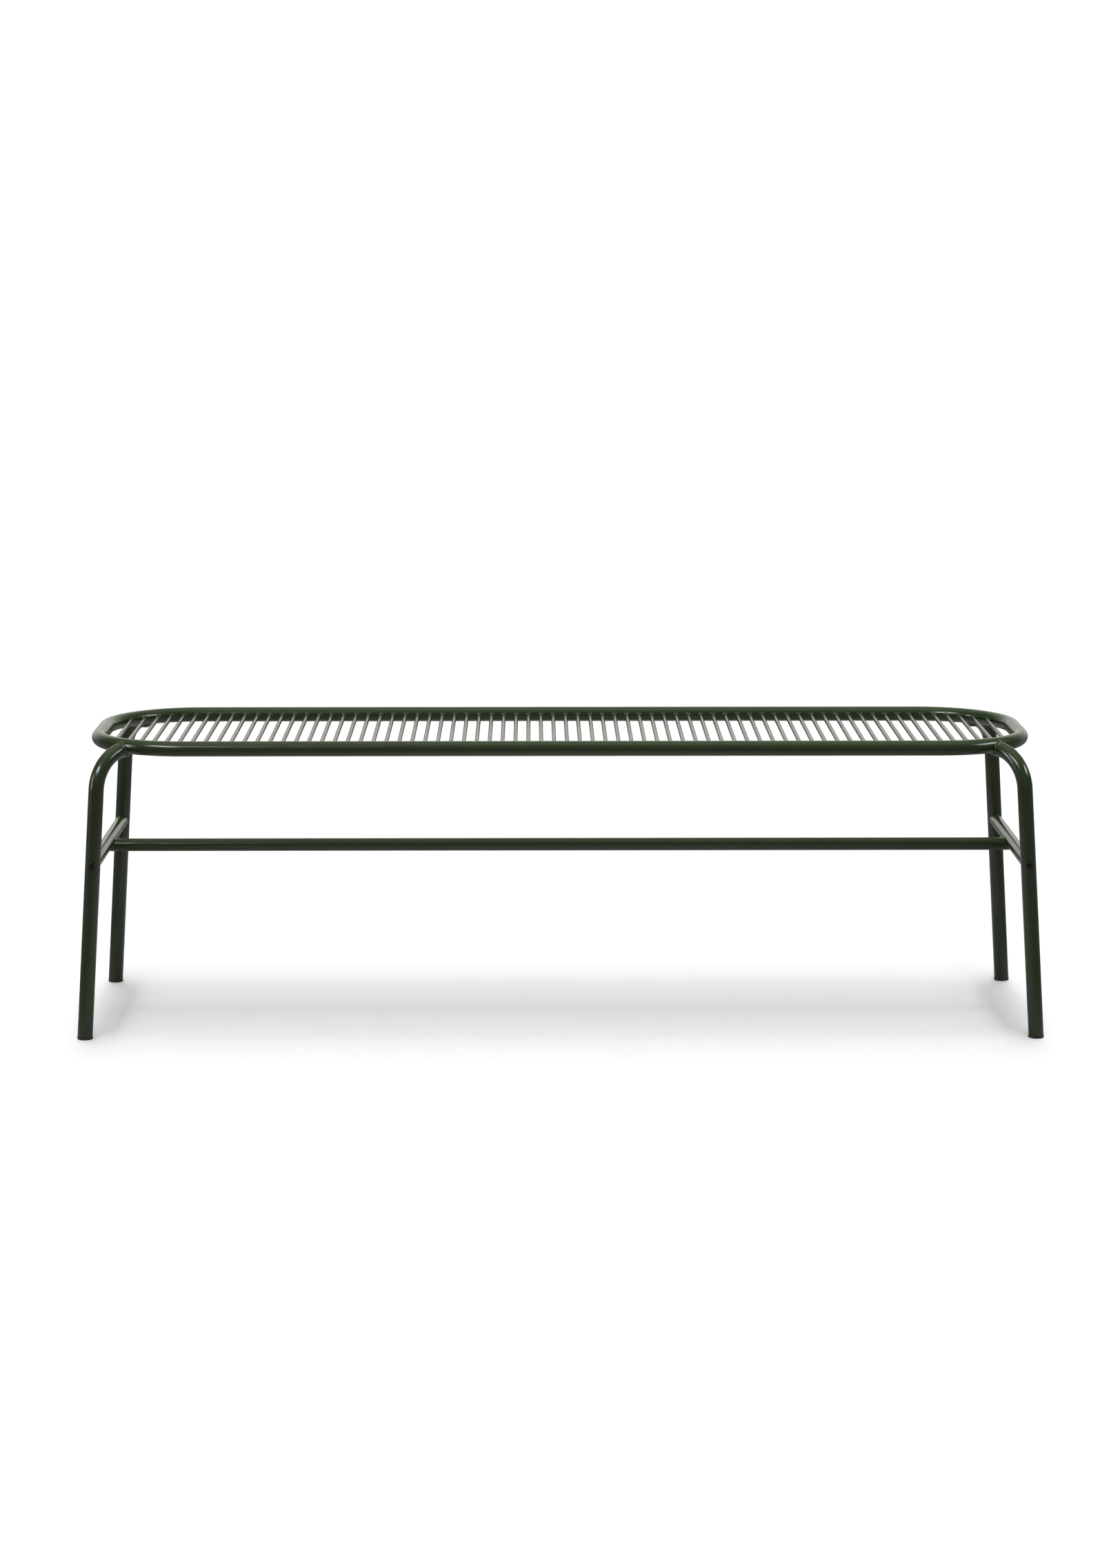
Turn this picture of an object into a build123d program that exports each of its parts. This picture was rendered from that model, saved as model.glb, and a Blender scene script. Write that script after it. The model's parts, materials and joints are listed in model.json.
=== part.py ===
"""Backless bench: a closed tube ring carrying thin cross rods, on four bent tube legs with an H brace.

Millimetres, +Z up. The origin is on the floor, under the middle of the seat. X runs along the bench.
Each physical piece is written as its own STEP file in parts/.
"""
from build123d import *
import math
import os

# Overall size
SEAT_TOP_Z = 432.0
SEAT_LENGTH = 1374.0
SEAT_WIDTH = 374.0
SEAT_CORNER_RADIUS = 132.0  # to the middle of the ring tube

# Tubes and rods
MAIN_TUBE_OD = 22.0
MAIN_TUBE_WALL = 2.0
BRACE_TUBE_OD = 19.0
BRACE_TUBE_WALL = 1.5
ROD_DIAMETER = 6.0
ROD_PITCH = 18.75
ROD_PAIRS = 35

# Legs: straight, leaning outwards on the way down, with one bend under the seat
FOOT_X = 688.5
FOOT_Y = 195.0
LEAN_X_DEGREES = 3.6
LEAN_Y_DEGREES = 0.9
LEG_END_DROP = 5.0  # leg end axis below the ring axis
LEG_BEND_RADIUS = 55.0
LEG_END_GAP = 4.0  # trimmed off the lip that would reach under the ring, short of the ring's axis

# H brace
END_STRETCHER_Z = 255.0
LONG_STRETCHER_Z = 250.0
LONG_STRETCHER_END_GAP = 3.0  # trimmed off the lip under the end stretcher, short of its axis

# Glides
GLIDE_HEIGHT = 4.0
GLIDE_EDGE = 1.4
GLIDE_FLANGE_DIAMETER = 22.6
GLIDE_PLUG_LENGTH = 22.0
GLIDE_PLUG_CLEARANCE = 0.1

# M6 x 35 button head screws with a 4 mm hexagon socket, and the threaded plugs that they hold
SCREW_DIAMETER = 6.0
SCREW_LENGTH = 35.0
SCREW_HEAD_DIAMETER = 10.5
SCREW_HEAD_HEIGHT = 3.3
SCREW_HEAD_CROWN = 1.5
SOCKET_ACROSS_FLATS = 4.0
SOCKET_DEPTH = 2.0
SCREW_HOLE_DIAMETER = 6.6
SPOT_FACE_DIAMETER = 12.0
SPOT_FACE_DEPTH = 1.0
PLUG_LENGTH = 18.0
PLUG_CLEARANCE = 0.05
PLUG_SET_BACK = 0.5  # from the leg's surface
THREAD_CLEARANCE = 0.05

# Worked out from the sizes above
MAIN_R = MAIN_TUBE_OD / 2
BRACE_R = BRACE_TUBE_OD / 2
RING_Z = SEAT_TOP_Z - MAIN_R
RING_HALF_LENGTH = SEAT_LENGTH / 2 - MAIN_R
RING_HALF_WIDTH = SEAT_WIDTH / 2 - MAIN_R
CORNER_X = RING_HALF_LENGTH - SEAT_CORNER_RADIUS
CORNER_Y = RING_HALF_WIDTH - SEAT_CORNER_RADIUS
LEG_END_Z = RING_Z - LEG_END_DROP
LEAN_X = math.tan(math.radians(LEAN_X_DEGREES))
LEAN_Y = math.tan(math.radians(LEAN_Y_DEGREES))
QUADRANTS = {
    "front_left": (-1, -1),
    "front_right": (1, -1),
    "rear_left": (-1, 1),
    "rear_right": (1, 1),
}


def leg_axis(height):
    """Point on the straight part of the +X +Y leg's axis at the given height."""
    return Vector(FOOT_X - LEAN_X * height, FOOT_Y - LEAN_Y * height, height)


def in_quadrant(shape, signs):
    """Mirror a shape made for +X +Y into the quadrant with these signs."""
    if signs[0] < 0:
        shape = mirror(shape, about=Plane.YZ)
    if signs[1] < 0:
        shape = mirror(shape, about=Plane.XZ)
    return shape


def cylinder_between(start, end, radius):
    """Solid round bar from start to end."""
    axis = end - start
    return extrude(Plane(origin=start, z_dir=axis) * Circle(radius), amount=axis.length)


def ring_bar(radius):
    """Solid bar of the given radius along the ring's path, made of straight and quarter turns."""
    bar = None
    for side in (-1, 1):
        rail_y = side * RING_HALF_WIDTH
        end_x = side * RING_HALF_LENGTH
        rail = cylinder_between(Vector(-CORNER_X, rail_y, RING_Z), Vector(CORNER_X, rail_y, RING_Z), radius)
        end = cylinder_between(Vector(end_x, -CORNER_Y, RING_Z), Vector(end_x, CORNER_Y, RING_Z), radius)
        bar = rail + end if bar is None else bar + rail + end
    section = Plane.XZ * Pos(SEAT_CORNER_RADIUS, 0) * Circle(radius)
    quarter = revolve(section, axis=Axis.Z, revolution_arc=90)
    for turn, (x, y) in enumerate(((1, 1), (-1, 1), (-1, -1), (1, -1))):
        bar += Pos(x * CORNER_X, y * CORNER_Y, RING_Z) * Rot(0, 0, 90 * turn) * quarter
    return bar


def leg_path():
    """Axis of the +X +Y leg: up from the floor, round the bend and in towards the ring's corner."""
    foot = leg_axis(0)
    corner = leg_axis(LEG_END_Z)
    inward = Vector(CORNER_X, CORNER_Y, LEG_END_Z) - corner
    reach = inward.length - SEAT_CORNER_RADIUS - LEG_END_GAP
    up = (corner - foot).normalized()
    inward = inward.normalized()
    turn = math.radians(up.get_angle(inward))
    tangent_length = LEG_BEND_RADIUS * math.tan(turn / 2)
    bend_start = corner - up * tangent_length
    bend_end = corner + inward * tangent_length
    middle_reach = LEG_BEND_RADIUS * (1 / math.cos(turn / 2) - 1)
    bend_middle = corner + (inward - up).normalized() * middle_reach
    leg_end = corner + inward * reach
    return Wire([
        Edge.make_line(foot, bend_start),
        Edge.make_three_point_arc(bend_start, bend_middle, bend_end),
        Edge.make_line(bend_end, leg_end),
    ])


def leg_bar(radius):
    """Solid bar of the given radius along the leg's path."""
    path = leg_path()
    start = Plane(origin=path @ 0, z_dir=path % 0)
    return sweep(start * Circle(radius), path=path)


def below_glide_top():
    """Block that cuts the leg off level at the top of the glide."""
    size = 4 * MAIN_TUBE_OD
    return Pos(FOOT_X, FOOT_Y, GLIDE_HEIGHT - size / 2) * Box(size, size, size)


def screw_plane():
    """Plane at the leg's axis, looking out of the bench along +Y, where the screw goes through."""
    return Plane(origin=leg_axis(END_STRETCHER_Z), x_dir=(1, 0, 0), z_dir=(0, 1, 0))


def make_leg(ring_solid):
    """Bent leg tube, coped to the ring, level at the foot and drilled for its brace screw."""
    leg = leg_bar(MAIN_R) - leg_bar(MAIN_R - MAIN_TUBE_WALL)
    leg -= ring_solid
    leg -= below_glide_top()
    axis = screw_plane()
    leg -= extrude(axis * Circle(SCREW_HOLE_DIAMETER / 2), amount=MAIN_TUBE_OD, both=True)
    face = axis.offset(MAIN_R - SPOT_FACE_DEPTH)
    leg -= extrude(face * Circle(SPOT_FACE_DIAMETER / 2), amount=MAIN_R)
    return largest_solid(leg)


def largest_solid(shape):
    """The one solid that is the piece, without offcuts beyond a cope."""
    return max(shape.solids(), key=lambda solid: solid.volume)


def make_glide():
    """Plastic glide: a rounded foot under the tube and a plug inside it."""
    centre = leg_axis(GLIDE_HEIGHT)
    flange = Pos(centre.X, centre.Y, GLIDE_HEIGHT / 2) * Cylinder(GLIDE_FLANGE_DIAMETER / 2, GLIDE_HEIGHT)
    flange = fillet(flange.edges().group_by(Axis.Z)[0], GLIDE_EDGE)
    plug_radius = MAIN_R - MAIN_TUBE_WALL - GLIDE_PLUG_CLEARANCE
    plug = cylinder_between(leg_axis(GLIDE_HEIGHT / 2), leg_axis(GLIDE_HEIGHT + GLIDE_PLUG_LENGTH), plug_radius)
    return flange + plug


def make_screw():
    """Button head screw from outside the leg into the end of the stretcher."""
    under_head = screw_plane().offset(MAIN_R - SPOT_FACE_DEPTH)
    head = extrude(under_head * Circle(SCREW_HEAD_DIAMETER / 2), amount=SCREW_HEAD_HEIGHT)
    head = fillet(head.edges().group_by(Axis.Y)[-1], SCREW_HEAD_CROWN)
    socket_face = under_head.offset(SCREW_HEAD_HEIGHT - SOCKET_DEPTH)
    socket = RegularPolygon(SOCKET_ACROSS_FLATS / 2, 6, major_radius=False)
    head -= extrude(socket_face * socket, amount=SCREW_HEAD_HEIGHT)
    shank = extrude(under_head * Circle(SCREW_DIAMETER / 2), amount=-SCREW_LENGTH)
    return head + shank


def make_threaded_plug():
    """Threaded plug welded inside the end of the stretcher."""
    outer_face = screw_plane().offset(-(MAIN_R + PLUG_SET_BACK))
    radius = BRACE_R - BRACE_TUBE_WALL - PLUG_CLEARANCE
    plug = extrude(outer_face * Circle(radius), amount=-PLUG_LENGTH)
    plug -= extrude(outer_face * Circle(SCREW_DIAMETER / 2 + THREAD_CLEARANCE), amount=-PLUG_LENGTH)
    return plug


def make_end_stretcher(front_leg, rear_leg):
    """Cross tube between the front and rear legs of the +X end, coped to both."""
    rear = leg_axis(END_STRETCHER_Z)
    front = Vector(rear.X, -rear.Y, rear.Z)
    tube = cylinder_between(front, rear, BRACE_R) - cylinder_between(front, rear, BRACE_R - BRACE_TUBE_WALL)
    return largest_solid(tube - front_leg - rear_leg)


def make_long_stretcher():
    """Tube along the bench between the two end stretchers, coped to both."""
    end_x = leg_axis(END_STRETCHER_Z).X
    reach = end_x - LONG_STRETCHER_END_GAP
    left = Vector(-reach, 0, LONG_STRETCHER_Z)
    right = Vector(reach, 0, LONG_STRETCHER_Z)
    tube = cylinder_between(left, right, BRACE_R) - cylinder_between(left, right, BRACE_R - BRACE_TUBE_WALL)
    for side in (-1, 1):
        front = Vector(side * end_x, -MAIN_TUBE_OD, END_STRETCHER_Z)
        rear = Vector(side * end_x, MAIN_TUBE_OD, END_STRETCHER_Z)
        tube -= cylinder_between(front, rear, BRACE_R)
    return largest_solid(tube)


def make_rod(x, ring_solid):
    """Cross rod at this X, coped to the inside of the ring at both ends."""
    past_corner = max(0.0, x - CORNER_X)
    reach = CORNER_Y + math.sqrt(SEAT_CORNER_RADIUS**2 - past_corner**2)
    rod = cylinder_between(Vector(x, -reach, RING_Z), Vector(x, reach, RING_Z), ROD_DIAMETER / 2)
    return largest_solid(rod - ring_solid)


def write(shape, name):
    """Write one node."""
    export_step(shape, f"parts/{name}.step")


def main():
    os.makedirs("parts", exist_ok=True)

    ring_solid = ring_bar(MAIN_R)
    write(largest_solid(ring_solid - ring_bar(MAIN_R - MAIN_TUBE_WALL)), "seat_ring")

    for pair in range(ROD_PAIRS):
        rod = make_rod((pair + 0.5) * ROD_PITCH, ring_solid)
        write(Compound([mirror(rod, about=Plane.YZ), rod]), f"seat_rod_pair_{pair + 1:02d}")

    leg = make_leg(ring_solid)
    solid_leg = leg_bar(MAIN_R)
    stretcher = make_end_stretcher(in_quadrant(solid_leg, (1, -1)), solid_leg)
    write(in_quadrant(stretcher, (-1, 1)), "end_stretcher_left")
    write(stretcher, "end_stretcher_right")
    write(make_long_stretcher(), "long_stretcher")

    glide = make_glide()
    screw = make_screw()
    plug = make_threaded_plug()
    for place, signs in QUADRANTS.items():
        write(in_quadrant(leg, signs), f"leg_{place}")
        write(in_quadrant(glide, signs), f"glide_{place}")
        write(in_quadrant(screw, signs), f"brace_screw_{place}")
        write(in_quadrant(plug, signs), f"threaded_plug_{place}")


main()
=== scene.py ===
"""The looks of the backless bench: dark green powder coat on welded tube and rod, in a white studio.

Metres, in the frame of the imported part: +Z up, X along the bench, origin on the floor under its middle.
The CAD legs, stretchers, screws, plugs and glides stay as they are and get materials. The seat ring and
its rods are rebuilt as finely divided meshes, and weld beads are added where the tubes and rods meet.
"""

import json
import math
import random
from collections import namedtuple

import bpy
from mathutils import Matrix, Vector


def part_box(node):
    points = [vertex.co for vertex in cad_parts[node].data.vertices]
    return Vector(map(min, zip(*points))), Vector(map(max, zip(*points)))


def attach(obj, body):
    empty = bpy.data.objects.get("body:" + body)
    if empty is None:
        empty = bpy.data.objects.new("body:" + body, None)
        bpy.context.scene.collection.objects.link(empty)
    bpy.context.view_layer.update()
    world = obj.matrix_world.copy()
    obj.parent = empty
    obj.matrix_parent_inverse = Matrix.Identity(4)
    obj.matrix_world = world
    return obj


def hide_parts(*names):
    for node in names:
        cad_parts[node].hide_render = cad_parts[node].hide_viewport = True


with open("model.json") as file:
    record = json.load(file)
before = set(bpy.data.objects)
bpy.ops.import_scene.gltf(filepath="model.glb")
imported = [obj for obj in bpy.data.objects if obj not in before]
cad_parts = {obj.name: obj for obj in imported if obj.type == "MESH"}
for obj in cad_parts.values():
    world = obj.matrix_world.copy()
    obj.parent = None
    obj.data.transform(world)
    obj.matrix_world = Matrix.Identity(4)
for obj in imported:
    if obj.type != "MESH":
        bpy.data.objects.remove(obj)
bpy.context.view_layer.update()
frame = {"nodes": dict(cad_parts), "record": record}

# ---------------------------------------------------------------- sizes of the real bench
SEAT_CORNER_RADIUS = 0.132  # to the middle of the ring tube
LEG_LEAN_X = math.tan(math.radians(3.6))  # outwards on the way down
LEG_LEAN_Y = math.tan(math.radians(0.9))
LEG_END_DROP = 0.005  # leg end axis below the ring axis
LEG_END_GAP = 0.004  # a leg stops this far short of the ring's axis
LONG_STRETCHER_END_GAP = 0.003  # and the long stretcher this far short of the end stretcher's axis

RING_LOW, RING_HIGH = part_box("seat_ring")
TUBE_RADIUS = (RING_HIGH.z - RING_LOW.z) / 2
RING_Z = RING_HIGH.z - TUBE_RADIUS
RING_X = RING_HIGH.x - TUBE_RADIUS
RING_Y = RING_HIGH.y - TUBE_RADIUS
CORNER_X = RING_X - SEAT_CORNER_RADIUS
CORNER_Y = RING_Y - SEAT_CORNER_RADIUS
BRACE_LOW, BRACE_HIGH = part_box("end_stretcher_right")
BRACE_X = (BRACE_LOW.x + BRACE_HIGH.x) / 2
BRACE_Z = (BRACE_LOW.z + BRACE_HIGH.z) / 2
BRACE_RADIUS = (BRACE_HIGH.z - BRACE_LOW.z) / 2
ROD_LOW, ROD_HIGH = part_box("seat_rod_pair_01")
ROD_RADIUS = (ROD_HIGH.z - ROD_LOW.z) / 2
ROD_PAIRS = sum(name.startswith("seat_rod_pair_") for name in frame["nodes"])

QUADRANTS = {  # signs of X and Y
    "front_left": (-1, -1),
    "front_right": (1, -1),
    "rear_left": (-1, 1),
    "rear_right": (1, 1),
}

# ---------------------------------------------------------------- fineness of the rebuilt meshes
TUBE_SIDES = 48
ROD_SIDES = 20
CORNER_STEPS = 28
ROD_END_INSET = 0.0008  # how far a rebuilt rod runs into the ring's wall, out of sight
BEAD_SIDES = 16
HALVINGS = 24  # steps in the search for the point where a tube meets the other's surface
SLOPE_STEP = 1e-5  # step for the slope of the distance from a surface

# ---------------------------------------------------------------- weld beads
# proud is how far a bead stands out of its joint, pitch the length of a ripple, stations its sections.
Bead = namedtuple("Bead", "radius proud pitch stations")
Station = namedtuple("Station", "middle outward gap")
LEG_BEAD = Bead(radius=0.0050, proud=0.0016, pitch=0.0038, stations=168)
BRACE_BEAD = Bead(radius=0.0040, proud=0.0012, pitch=0.0032, stations=144)
ROD_BEAD = Bead(radius=0.0020, proud=0.0012, pitch=0.0024, stations=40)
BEAD_RIPPLE = 0.00020  # height of a ripple
BEAD_SWELL = (0.88, 1.12)  # range of one ripple's share of the height
FEWEST_RIPPLES = 3
GAP_FILL = 0.2  # share of a gap by which the bead over it stands out further
BRACE_BEAD_EASING = 30  # passes, because this joint turns sharply under the end stretcher

# ---------------------------------------------------------------- finishes
# A size is that of a noise pattern's cells and a depth that of its bump, in metres.
COAT_DARK = (0.0135, 0.0265, 0.0058)
COAT_LIGHT = (0.0168, 0.0325, 0.0080)
COAT_SPECK = (0.0205, 0.0370, 0.0120)
COAT_DRIFT_SIZE = 0.09
COAT_SPECK_SIZE = 0.0011
COAT_ROUGHNESS = (0.17, 0.22)
COAT_GLOSS_SIZE = 0.03
COAT_IOR = 1.5
ORANGE_PEEL_SIZE = 0.0035
ORANGE_PEEL_DEPTH = 0.00005
WELD_GRAIN_SIZE = 0.0022
WELD_GRAIN_DEPTH = 0.00018

PLASTIC_DARK = (0.010, 0.010, 0.010)
PLASTIC_PALE = (0.028, 0.028, 0.027)
PLASTIC_ROUGHNESS = (0.42, 0.62)
PLASTIC_SCUFF_SIZE = 0.004
PLASTIC_GRAIN_SIZE = 0.0006
PLASTIC_GRAIN_DEPTH = 0.00004

OXIDE_DARK = (0.012, 0.012, 0.013)
OXIDE_WORN = (0.055, 0.053, 0.050)
OXIDE_ROUGHNESS = (0.32, 0.5)
OXIDE_METALLIC = 0.6
OXIDE_WEAR_SIZE = 0.002
OXIDE_GRAIN_SIZE = 0.0004
OXIDE_GRAIN_DEPTH = 0.00002

STEEL_DARK = (0.32, 0.31, 0.30)
STEEL_PALE = (0.48, 0.47, 0.45)
STEEL_ROUGHNESS = (0.3, 0.45)
STEEL_DRIFT_SIZE = 0.003
STEEL_TURNING_SCALE = 900
STEEL_TURNING_DEPTH = 0.00003

# ---------------------------------------------------------------- camera and studio
CAMERA_DISTANCE = 5.28  # in front of the bench's middle
CAMERA_HEIGHT = 1.197
CAMERA_TILT = math.radians(-9.21)
CAMERA_YAW = math.radians(-0.45)
CAMERA_LENS_MM = 82.63
CAMERA_SENSOR_MM = 36
CAMERA_CLIP_END = 200

FLOOR_HALF_SIZE = 60.0
FLOOR_SEEN = (0.500, 0.502, 0.510)  # the floor's colour for the camera
FLOOR_GLOW = 0.11
FLOOR_NEAR = (0.420, 0.414, 0.400)  # and for every other ray a painted pool of light: paler round the bench, darker away from it
FLOOR_FAR = (0.140, 0.138, 0.132)
FLOOR_FALLOFF = (0.3, 1.2)  # distances from the origin at which near ends and far begins

BACKDROP_SEEN = 1.2  # strength of the white that the camera sees
STUDIO_COLOUR = (1.0, 0.985, 0.935)
SURROUNDINGS = 0.16  # brightness on all sides, to which ceiling, rear wall and front add theirs
CEILING = 0.6
CEILING_EDGE = (0.66, 1.0)  # Z of the directions where it begins and is full
REAR_WALL = 0.8
REAR_WALL_EDGE = (0.55, 0.95)  # Y of the directions where it begins and is full
FRONT = 0.12
FRONT_EDGE = (-0.9, -0.4)  # Y of the directions where it is full and ends

OVERHEAD_STRENGTH = 4.7
OVERHEAD_SOFTNESS = math.radians(14)
OVERHEAD_STRIP = (  # tilt from straight above in degrees, share of the light
    (-24, 0.11),
    (-12, 0.19),
    (0, 0.40),
    (12, 0.19),
    (24, 0.11),
)
PANEL_COLOUR = (0.90, 0.97, 1.0)
PANEL_DISTANCE = 6.0
PANELS = (  # name, azimuth from the front to the right, elevation, width, height (degrees), brightness
    ("left_panel", -36, 38, 30, 13, 13.0),
    ("left_side_panel", -76, 10, 11, 24, 9.0),
    ("right_side_panel", 76, 30, 26, 14, 9.0),
)


# ---------------------------------------------------------------- materials
def new_material(name):
    """An empty node material and its Principled shader."""
    material = bpy.data.materials.new(name)
    material.use_nodes = True
    return material, material.node_tree.nodes["Principled BSDF"]


def noise(tree, coords, size, detail=2.0):
    """Noise texture whose cells are about this size, in metres."""
    node = tree.nodes.new("ShaderNodeTexNoise")
    node.inputs["Scale"].default_value = 1 / size
    node.inputs["Detail"].default_value = detail
    tree.links.new(coords, node.inputs["Vector"])
    return node.outputs["Fac"]


def mapped(tree, value, low, high, bottom=0.3, top=0.7):
    """Stretch the middle of a 0 to 1 value onto low to high."""
    node = tree.nodes.new("ShaderNodeMapRange")
    node.inputs["From Min"].default_value = bottom
    node.inputs["From Max"].default_value = top
    node.inputs["To Min"].default_value = low
    node.inputs["To Max"].default_value = high
    tree.links.new(value, node.inputs["Value"])
    return node.outputs["Result"]


def blended(tree, factor, first, second):
    """Colour that runs from first, a colour or another node's output, to the colour second."""
    node = tree.nodes.new("ShaderNodeMix")
    node.data_type = "RGBA"
    if isinstance(first, tuple):
        node.inputs["A"].default_value = (*first, 1)
    else:
        tree.links.new(first, node.inputs["A"])
    node.inputs["B"].default_value = (*second, 1)
    tree.links.new(factor, node.inputs["Factor"])
    return node.outputs["Result"]


def bumped(tree, height, depth, under=None):
    """Bump of this depth in metres, laid over another bump if there is one."""
    node = tree.nodes.new("ShaderNodeBump")
    node.inputs["Distance"].default_value = depth
    node.inputs["Strength"].default_value = 1.0
    tree.links.new(height, node.inputs["Height"])
    if under is not None:
        tree.links.new(under, node.inputs["Normal"])
    return node.outputs["Normal"]


def object_coords(tree):
    """Coordinates that stay with the object, in metres."""
    return tree.nodes.new("ShaderNodeTexCoord").outputs["Object"]


def powder_coat(name, on_weld):
    """Semi-gloss dark green powder coat with orange peel, faint colour drift and fine specks.

    On a weld, the metal under it is uneven too.
    """
    material, shader = new_material(name)
    tree = material.node_tree
    coords = object_coords(tree)
    drift = mapped(tree, noise(tree, coords, COAT_DRIFT_SIZE, detail=3), 0, 1)
    speck = mapped(tree, noise(tree, coords, COAT_SPECK_SIZE, detail=1), 0, 1, bottom=0.62, top=0.72)
    body = blended(tree, drift, COAT_DARK, COAT_LIGHT)
    tree.links.new(blended(tree, speck, body, COAT_SPECK), shader.inputs["Base Color"])
    gloss = noise(tree, coords, COAT_GLOSS_SIZE, detail=3)
    tree.links.new(mapped(tree, gloss, *COAT_ROUGHNESS), shader.inputs["Roughness"])
    shader.inputs["IOR"].default_value = COAT_IOR
    metal = bumped(tree, noise(tree, coords, WELD_GRAIN_SIZE), WELD_GRAIN_DEPTH) if on_weld else None
    orange_peel = noise(tree, coords, ORANGE_PEEL_SIZE, detail=1.5)
    normal = bumped(tree, orange_peel, ORANGE_PEEL_DEPTH, under=metal)
    tree.links.new(normal, shader.inputs["Normal"])
    return material


def moulded_plastic():
    """Black polyethylene of the glides, with a fine moulded grain and paler scuffs."""
    material, shader = new_material("glide_plastic")
    tree = material.node_tree
    coords = object_coords(tree)
    scuff = mapped(tree, noise(tree, coords, PLASTIC_SCUFF_SIZE, detail=4), 0, 1, bottom=0.5, top=0.8)
    tree.links.new(blended(tree, scuff, PLASTIC_DARK, PLASTIC_PALE), shader.inputs["Base Color"])
    tree.links.new(mapped(tree, scuff, *PLASTIC_ROUGHNESS, 0, 1), shader.inputs["Roughness"])
    grain = bumped(tree, noise(tree, coords, PLASTIC_GRAIN_SIZE), PLASTIC_GRAIN_DEPTH)
    tree.links.new(grain, shader.inputs["Normal"])
    return material


def black_oxide():
    """Black oxide on the screws: dark, a little metallic, worn paler in patches."""
    material, shader = new_material("black_screw")
    tree = material.node_tree
    coords = object_coords(tree)
    worn = mapped(tree, noise(tree, coords, OXIDE_WEAR_SIZE, detail=4), 0, 1, bottom=0.55, top=0.85)
    tree.links.new(blended(tree, worn, OXIDE_DARK, OXIDE_WORN), shader.inputs["Base Color"])
    tree.links.new(mapped(tree, worn, *OXIDE_ROUGHNESS, 0, 1), shader.inputs["Roughness"])
    shader.inputs["Metallic"].default_value = OXIDE_METALLIC
    grain = bumped(tree, noise(tree, coords, OXIDE_GRAIN_SIZE), OXIDE_GRAIN_DEPTH)
    tree.links.new(grain, shader.inputs["Normal"])
    return material


def turned_steel():
    """Plain turned steel of the threaded plugs inside the brace tubes."""
    material, shader = new_material("plug_steel")
    tree = material.node_tree
    coords = object_coords(tree)
    drift = mapped(tree, noise(tree, coords, STEEL_DRIFT_SIZE, detail=4), 0, 1)
    tree.links.new(blended(tree, drift, STEEL_DARK, STEEL_PALE), shader.inputs["Base Color"])
    tree.links.new(mapped(tree, drift, *STEEL_ROUGHNESS, 0, 1), shader.inputs["Roughness"])
    shader.inputs["Metallic"].default_value = 1.0
    turning = tree.nodes.new("ShaderNodeTexWave")
    turning.wave_type = "BANDS"
    turning.bands_direction = "Y"
    turning.inputs["Scale"].default_value = STEEL_TURNING_SCALE
    tree.links.new(coords, turning.inputs["Vector"])
    grooves = bumped(tree, turning.outputs["Fac"], STEEL_TURNING_DEPTH)
    tree.links.new(grooves, shader.inputs["Normal"])
    return material


POWDER_COAT = powder_coat("green_powder_coat", on_weld=False)
WELD_COAT = powder_coat("green_powder_coat_on_weld", on_weld=True)
SLOT_MATERIALS = {
    "green_powder_coat": POWDER_COAT,
    "glide_plastic": moulded_plastic(),
    "black_screw": black_oxide(),
    "plug_steel": turned_steel(),
}


# ---------------------------------------------------------------- meshes
def new_piece(name, parts, material):
    """Smooth-shaded, powder-coated mesh object that rides with the bench."""
    mesh = bpy.data.meshes.new(name)
    mesh.from_pydata([tuple(vertex) for vertex in parts.vertices], [], parts.faces)
    mesh.validate()
    mesh.update()
    mesh.shade_smooth()
    mesh.materials.append(material)
    piece = bpy.data.objects.new(name, mesh)
    bpy.context.scene.collection.objects.link(piece)
    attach(piece, "root")
    return piece


class MeshParts:
    """Vertices and faces of several shells that end up in one piece."""

    def __init__(self):
        self.vertices = []
        self.faces = []

    def add(self, rings, closed):
        """Skin a run of equal rings of points. A closed run joins its last ring to its first."""
        base = len(self.vertices)
        sides = len(rings[0])
        for ring in rings:
            self.vertices.extend(ring)
        spans = len(rings) if closed else len(rings) - 1
        for row in range(spans):
            here = base + row * sides
            there = base + (row + 1) % len(rings) * sides
            for side in range(sides):
                after = (side + 1) % sides
                self.faces.append((here + side, here + after, there + after, there + side))
        if not closed:
            last = base + (len(rings) - 1) * sides
            self.faces.append(tuple(base + side for side in reversed(range(sides))))
            self.faces.append(tuple(last + side for side in range(sides)))


def circle_points(centre, across, upwards, radius, sides):
    """Points round a circle spanned by two unit vectors."""
    points = []
    for side in range(sides):
        angle = 2 * math.pi * side / sides
        points.append(centre + across * radius * math.cos(angle) + upwards * radius * math.sin(angle))
    return points


def ring_centreline():
    """Points and outward directions along the middle of the ring tube, anticlockwise."""
    stations = []
    corners = ((1, -1, -90), (1, 1, 0), (-1, 1, 90), (-1, -1, 180))
    for sign_x, sign_y, start in corners:
        centre = Vector((sign_x * CORNER_X, sign_y * CORNER_Y, RING_Z))
        for step in range(CORNER_STEPS + 1):
            angle = math.radians(start + 90 * step / CORNER_STEPS)
            outward = Vector((math.cos(angle), math.sin(angle), 0))
            stations.append((centre + outward * SEAT_CORNER_RADIUS, outward))
    return stations


def make_ring():
    """Seat ring, its CAD node skinned finely enough for a smooth highlight."""
    up = Vector((0, 0, 1))
    parts = MeshParts()
    rings = [circle_points(at, outward, up, TUBE_RADIUS, TUBE_SIDES) for at, outward in ring_centreline()]
    parts.add(rings, closed=True)
    ring = new_piece("seat_ring_tube", parts, POWDER_COAT)
    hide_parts("seat_ring")


def rod_places(pair):
    """X of the pair's right-hand rod and how far its ends reach in Y, from its CAD node."""
    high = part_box(f"seat_rod_pair_{pair:02d}")[1]
    return high.x - ROD_RADIUS, high.y


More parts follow.
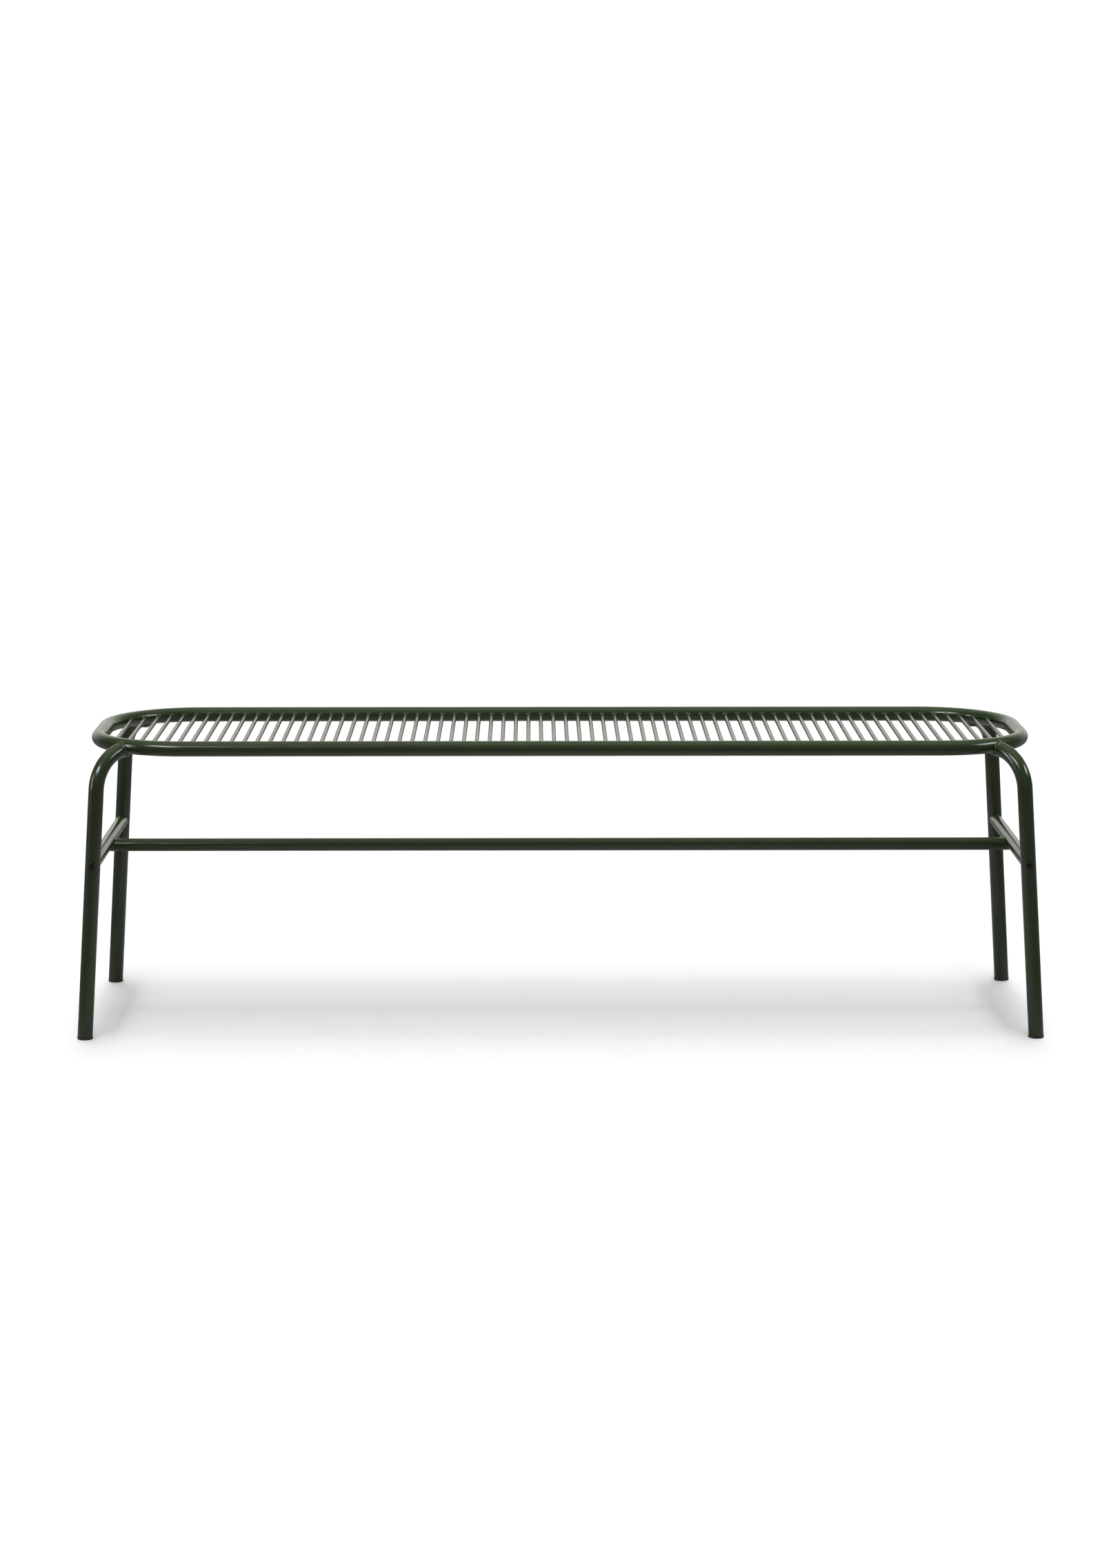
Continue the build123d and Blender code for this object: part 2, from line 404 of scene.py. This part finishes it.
def ring_clearance(point):
    """Distance from the surface of the ring's tube, below zero inside it."""
    past_x = abs(point.x) - CORNER_X
    past_y = abs(point.y) - CORNER_Y
    corner = math.hypot(max(past_x, 0), max(past_y, 0)) + min(max(past_x, past_y), 0)
    return math.hypot(corner - SEAT_CORNER_RADIUS, point.z - RING_Z) - TUBE_RADIUS


def end_stretcher_clearance(point):
    """Distance from the surface of the nearer end stretcher."""
    return math.hypot(abs(point.x) - BRACE_X, point.z - BRACE_Z) - BRACE_RADIUS


def steepest(clearance, point):
    """Unit vector straight away from the surface."""
    slope = Vector()
    for axis in range(3):
        nudge = Vector()
        nudge[axis] = SLOPE_STEP
        slope[axis] = clearance(point + nudge) - clearance(point - nudge)
    return slope.normalized()


def meeting_curve(start, end, radius, clearance, stations):
    """Bead stations round a tube's end: where it first touches the other tube, or stops beside it.

    A station has the bead's middle, the direction out of the joint, and the gap that the bead fills.
    """
    along = (end - start).normalized()
    across = along.cross(Vector((0, 0, 1))).normalized()
    up = across.cross(along)
    curve = []
    for station in range(stations):
        angle = 2 * math.pi * station / stations
        outward = across * math.cos(angle) + up * math.sin(angle)
        near, far = start + outward * radius, end + outward * radius
        if clearance(far) < 0:
            for _ in range(HALVINGS):
                middle = (near + far) / 2
                if clearance(middle) < 0:
                    far = middle
                else:
                    near = middle
        away = steepest(clearance, far)
        gap = max(clearance(far), 0)
        curve.append(Station(far - away * gap / 2, (outward + away).normalized(), gap))
    return curve


def eased(curve, passes):
    """Stations with their sharp turns rounded off, each pass averaging every one with its neighbours."""
    for _ in range(passes):
        preceding = curve[-1:] + curve[:-1]
        following = curve[1:] + curve[:1]
        curve = [
            Station(
                (before.middle + here.middle * 2 + after.middle) / 4,
                (before.outward + here.outward * 2 + after.outward).normalized(),
                (before.gap + here.gap * 2 + after.gap) / 4,
            )
            for before, here, after in zip(preceding, curve, following)
        ]
    return curve


def add_bead(parts, curve, bead, chance):
    """Skin a rippled weld bead along a closed run of stations."""
    length = sum((here.middle - before.middle).length for before, here in zip(curve[-1:] + curve, curve))
    ripples = max(FEWEST_RIPPLES, round(length / bead.pitch))
    swell = [chance.uniform(*BEAD_SWELL) for _ in range(ripples)]
    travelled = 0
    rings = []
    for index, (middle, outward, gap) in enumerate(curve):
        before = curve[index - 1].middle
        after = curve[(index + 1) % len(curve)].middle
        travelled += (middle - before).length
        tangent = (after - before).normalized()
        outward = (outward - tangent * outward.dot(tangent)).normalized()
        place = travelled / length * ripples
        crest = abs(math.sin(math.pi * place)) - 0.5
        radius = bead.radius + gap / 2
        height = bead.proud * blend_round(swell, place) + BEAD_RIPPLE * crest + gap * GAP_FILL
        centre = middle - outward * (radius - height)
        rings.append(circle_points(centre, outward, tangent.cross(outward), radius, BEAD_SIDES))
    parts.add(rings, closed=True)


def blend_round(values, place):
    """Value at a fractional place in a closed run of values."""
    first = int(place) % len(values)
    share = place - int(place)
    return values[first] * (1 - share) + values[(first + 1) % len(values)] * share


def make_rods():
    """Rods with a bead round each end, a left one and a right one to a piece."""
    across, up = Vector((1, 0, 0)), Vector((0, 0, 1))
    chance = random.Random(11)
    for pair in range(1, ROD_PAIRS + 1):
        x, reach = rod_places(pair)
        name = f"{pair:02d}"
        rods, beads = MeshParts(), MeshParts()
        for side in (-1, 1):
            middle = Vector((side * x, 0, RING_Z))
            full, short = reach + ROD_END_INSET, reach - ROD_END_INSET
            sections = [middle + Vector((0, y, 0)) for y in (-full, -short, short, full)]
            rods.add([circle_points(at, across, up, ROD_RADIUS, ROD_SIDES) for at in sections], closed=False)
            for way in (-1, 1):
                end = middle + Vector((0, way * (reach + TUBE_RADIUS / 2), 0))
                curve = meeting_curve(middle, end, ROD_RADIUS, ring_clearance, ROD_BEAD.stations)
                add_bead(beads, curve, ROD_BEAD, chance)
        piece = new_piece(f"seat_rods_{name}", rods, POWDER_COAT)
        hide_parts(f"seat_rod_pair_{name}")
        new_piece(f"rod_welds_{name}", beads, WELD_COAT)


def make_leg_welds():
    """Bead round each leg's end, where it runs level into the ring's corner."""
    chance = random.Random(23)
    for place, (sign_x, sign_y) in QUADRANTS.items():
        low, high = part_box(f"glide_{place}")
        foot = Vector(((low.x + high.x) / 2, (low.y + high.y) / 2, 0))
        height = RING_Z - LEG_END_DROP
        corner = foot + Vector((-sign_x * LEG_LEAN_X, -sign_y * LEG_LEAN_Y, 1)) * height
        arc_centre = Vector((sign_x * CORNER_X, sign_y * CORNER_Y, height))
        inward = (arc_centre - corner).normalized()
        end = arc_centre - inward * (SEAT_CORNER_RADIUS + LEG_END_GAP)
        start = end - inward * TUBE_RADIUS
        curve = meeting_curve(start, end, TUBE_RADIUS, ring_clearance, LEG_BEAD.stations)
        parts = MeshParts()
        add_bead(parts, curve, LEG_BEAD, chance)
        new_piece(f"leg_weld_{place}", parts, WELD_COAT)


def make_brace_welds():
    """Bead round each end of the long stretcher."""
    chance = random.Random(37)
    low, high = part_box("long_stretcher")
    radius = (high.z - low.z) / 2
    reach = BRACE_X - LONG_STRETCHER_END_GAP
    for place, side in (("left", -1), ("right", 1)):
        end = Vector((side * reach, 0, (low.z + high.z) / 2))
        start = end - Vector((side * 2 * radius, 0, 0))
        curve = meeting_curve(start, end, radius, end_stretcher_clearance, BRACE_BEAD.stations)
        parts = MeshParts()
        add_bead(parts, eased(curve, BRACE_BEAD_EASING), BRACE_BEAD, chance)
        new_piece(f"brace_weld_{place}", parts, WELD_COAT)


def dress_cad_nodes():
    """Give every CAD node that stays in view its slot's material."""
    slots = {entry["node"]: entry["material_slot"] for entry in frame["record"]["subparts"]}
    for name, node in frame["nodes"].items():
        node.data.materials.clear()
        node.data.materials.append(SLOT_MATERIALS[slots[name]])


# ---------------------------------------------------------------- studio
def make_camera():
    """Camera in front of the bench, looking a little down on it."""
    data = bpy.data.cameras.new("camera")
    data.lens = CAMERA_LENS_MM
    data.sensor_width = CAMERA_SENSOR_MM
    data.clip_end = CAMERA_CLIP_END
    camera = bpy.data.objects.new("camera", data)
    camera.rotation_euler = (math.pi / 2 + CAMERA_TILT, 0, CAMERA_YAW)
    camera.location = (CAMERA_DISTANCE * math.tan(CAMERA_YAW), -CAMERA_DISTANCE, CAMERA_HEIGHT)
    bpy.context.scene.collection.objects.link(camera)
    bpy.context.scene.camera = camera


def reflected_panel(name, azimuth, elevation, width, height, brightness):
    """Light panel that shows only in the gloss. Its place and size are angles seen from the seat."""
    turn, rise = math.radians(azimuth), math.radians(elevation)
    towards = Vector((math.sin(turn) * math.cos(rise), -math.cos(turn) * math.cos(rise), math.sin(rise)))
    data = bpy.data.lights.new(name, "AREA")
    data.shape = "RECTANGLE"
    data.size = 2 * PANEL_DISTANCE * math.tan(math.radians(width / 2))
    data.size_y = 2 * PANEL_DISTANCE * math.tan(math.radians(height / 2))
    data.energy = brightness * math.pi * data.size * data.size_y
    data.color = PANEL_COLOUR
    light = bpy.data.objects.new(name, data)
    light.location = Vector((0, 0, RING_Z)) + towards * PANEL_DISTANCE
    light.rotation_euler = towards.to_track_quat("Z", "Y").to_euler()
    light.visible_diffuse = False
    bpy.context.scene.collection.objects.link(light)


def added(tree, *values):
    """Sum of some nodes' outputs."""
    total = values[0]
    for value in values[1:]:
        node = tree.nodes.new("ShaderNodeMath")
        node.operation = "ADD"
        tree.links.new(total, node.inputs[0])
        tree.links.new(value, node.inputs[1])
        total = node.outputs["Value"]
    return total


def make_world():
    """Studio as the gloss sees it, in front of a plain white background.

    Dim all round, with a soft ceiling, a bright wall behind the bench and a paler front.
    """
    world = bpy.data.worlds.new("studio")
    bpy.context.scene.world = world
    world.use_nodes = True
    tree = world.node_tree
    background = tree.nodes["Background"]
    coords = tree.nodes.new("ShaderNodeTexCoord").outputs["Generated"]
    split = tree.nodes.new("ShaderNodeSeparateXYZ")
    tree.links.new(coords, split.inputs["Vector"])
    ceiling = mapped(tree, split.outputs["Z"], 0, CEILING, *CEILING_EDGE)
    wall = mapped(tree, split.outputs["Y"], 0, REAR_WALL, *REAR_WALL_EDGE)
    front = mapped(tree, split.outputs["Y"], SURROUNDINGS + FRONT, SURROUNDINGS, *FRONT_EDGE)
    background.inputs["Color"].default_value = (*STUDIO_COLOUR, 1)
    tree.links.new(added(tree, ceiling, wall, front), background.inputs["Strength"])
    white = tree.nodes.new("ShaderNodeBackground")
    white.inputs["Color"].default_value = (1, 1, 1, 1)
    white.inputs["Strength"].default_value = BACKDROP_SEEN
    seen_by_camera(tree, white.outputs["Background"], background.outputs["Background"], "World Output")


def seen_by_camera(tree, seen, otherwise, output):
    """Give the camera one shader and every other ray another."""
    mix = tree.nodes.new("ShaderNodeMixShader")
    tree.links.new(tree.nodes.new("ShaderNodeLightPath").outputs["Is Camera Ray"], mix.inputs["Fac"])
    tree.links.new(otherwise, mix.inputs[1])
    tree.links.new(seen, mix.inputs[2])
    tree.links.new(mix.outputs["Shader"], tree.nodes[output].inputs["Surface"])


def make_floor():
    """White paper floor. Seen by the camera it is bright enough to meet the background unseen. Every other
    ray sees a painted pool of light, paler round the bench and darker away from it.
    """
    h = FLOOR_HALF_SIZE
    mesh = bpy.data.meshes.new("floor")
    mesh.from_pydata([(-h, -h, 0), (h, -h, 0), (h, h, 0), (-h, h, 0)], [], [(0, 1, 2, 3)])
    floor = bpy.data.objects.new("floor", mesh)
    bpy.context.scene.collection.objects.link(floor)
    material, seen = new_material("floor_paper")
    tree = material.node_tree
    seen.inputs["Base Color"].default_value = (*FLOOR_SEEN, 1)
    seen.inputs["Specular IOR Level"].default_value = 0.0
    seen.inputs["Emission Color"].default_value = (1, 1, 1, 1)
    seen.inputs["Emission Strength"].default_value = FLOOR_GLOW
    reflected = tree.nodes.new("ShaderNodeBsdfDiffuse")
    distance = tree.nodes.new("ShaderNodeVectorMath")
    distance.operation = "LENGTH"
    tree.links.new(object_coords(tree), distance.inputs[0])
    # painted pool of light: the floor's reflected colour darkens with distance from the bench
    far = mapped(tree, distance.outputs["Value"], 0, 1, *FLOOR_FALLOFF)
    tree.links.new(blended(tree, far, FLOOR_NEAR, FLOOR_FAR), reflected.inputs["Color"])
    seen_by_camera(tree, seen.outputs["BSDF"], reflected.outputs["BSDF"], "Material Output")
    mesh.materials.append(material)


def make_overhead_light():
    """A strip of soft suns above, spread from front to rear, that draws the shadow under the bench.

    It lights surfaces but is kept out of reflections, where the world stands for the studio.
    """
    for tilt, share in OVERHEAD_STRIP:
        data = bpy.data.lights.new("overhead", "SUN")
        data.angle = OVERHEAD_SOFTNESS
        data.energy = OVERHEAD_STRENGTH * share
        light = bpy.data.objects.new("overhead", data)
        light.rotation_euler = (math.radians(tilt), 0, 0)
        light.visible_glossy = False
        bpy.context.scene.collection.objects.link(light)


def make_studio():
    """Camera, backdrop, floor and lights, with colours shown as they are lit."""
    make_camera()
    make_world()
    make_floor()
    make_overhead_light()
    for panel in PANELS:
        reflected_panel(*panel)
    view = bpy.context.scene.view_settings
    view.view_transform = "Standard"
    view.look = "None"


dress_cad_nodes()
make_ring()
make_rods()
make_leg_welds()
make_brace_welds()
make_studio()
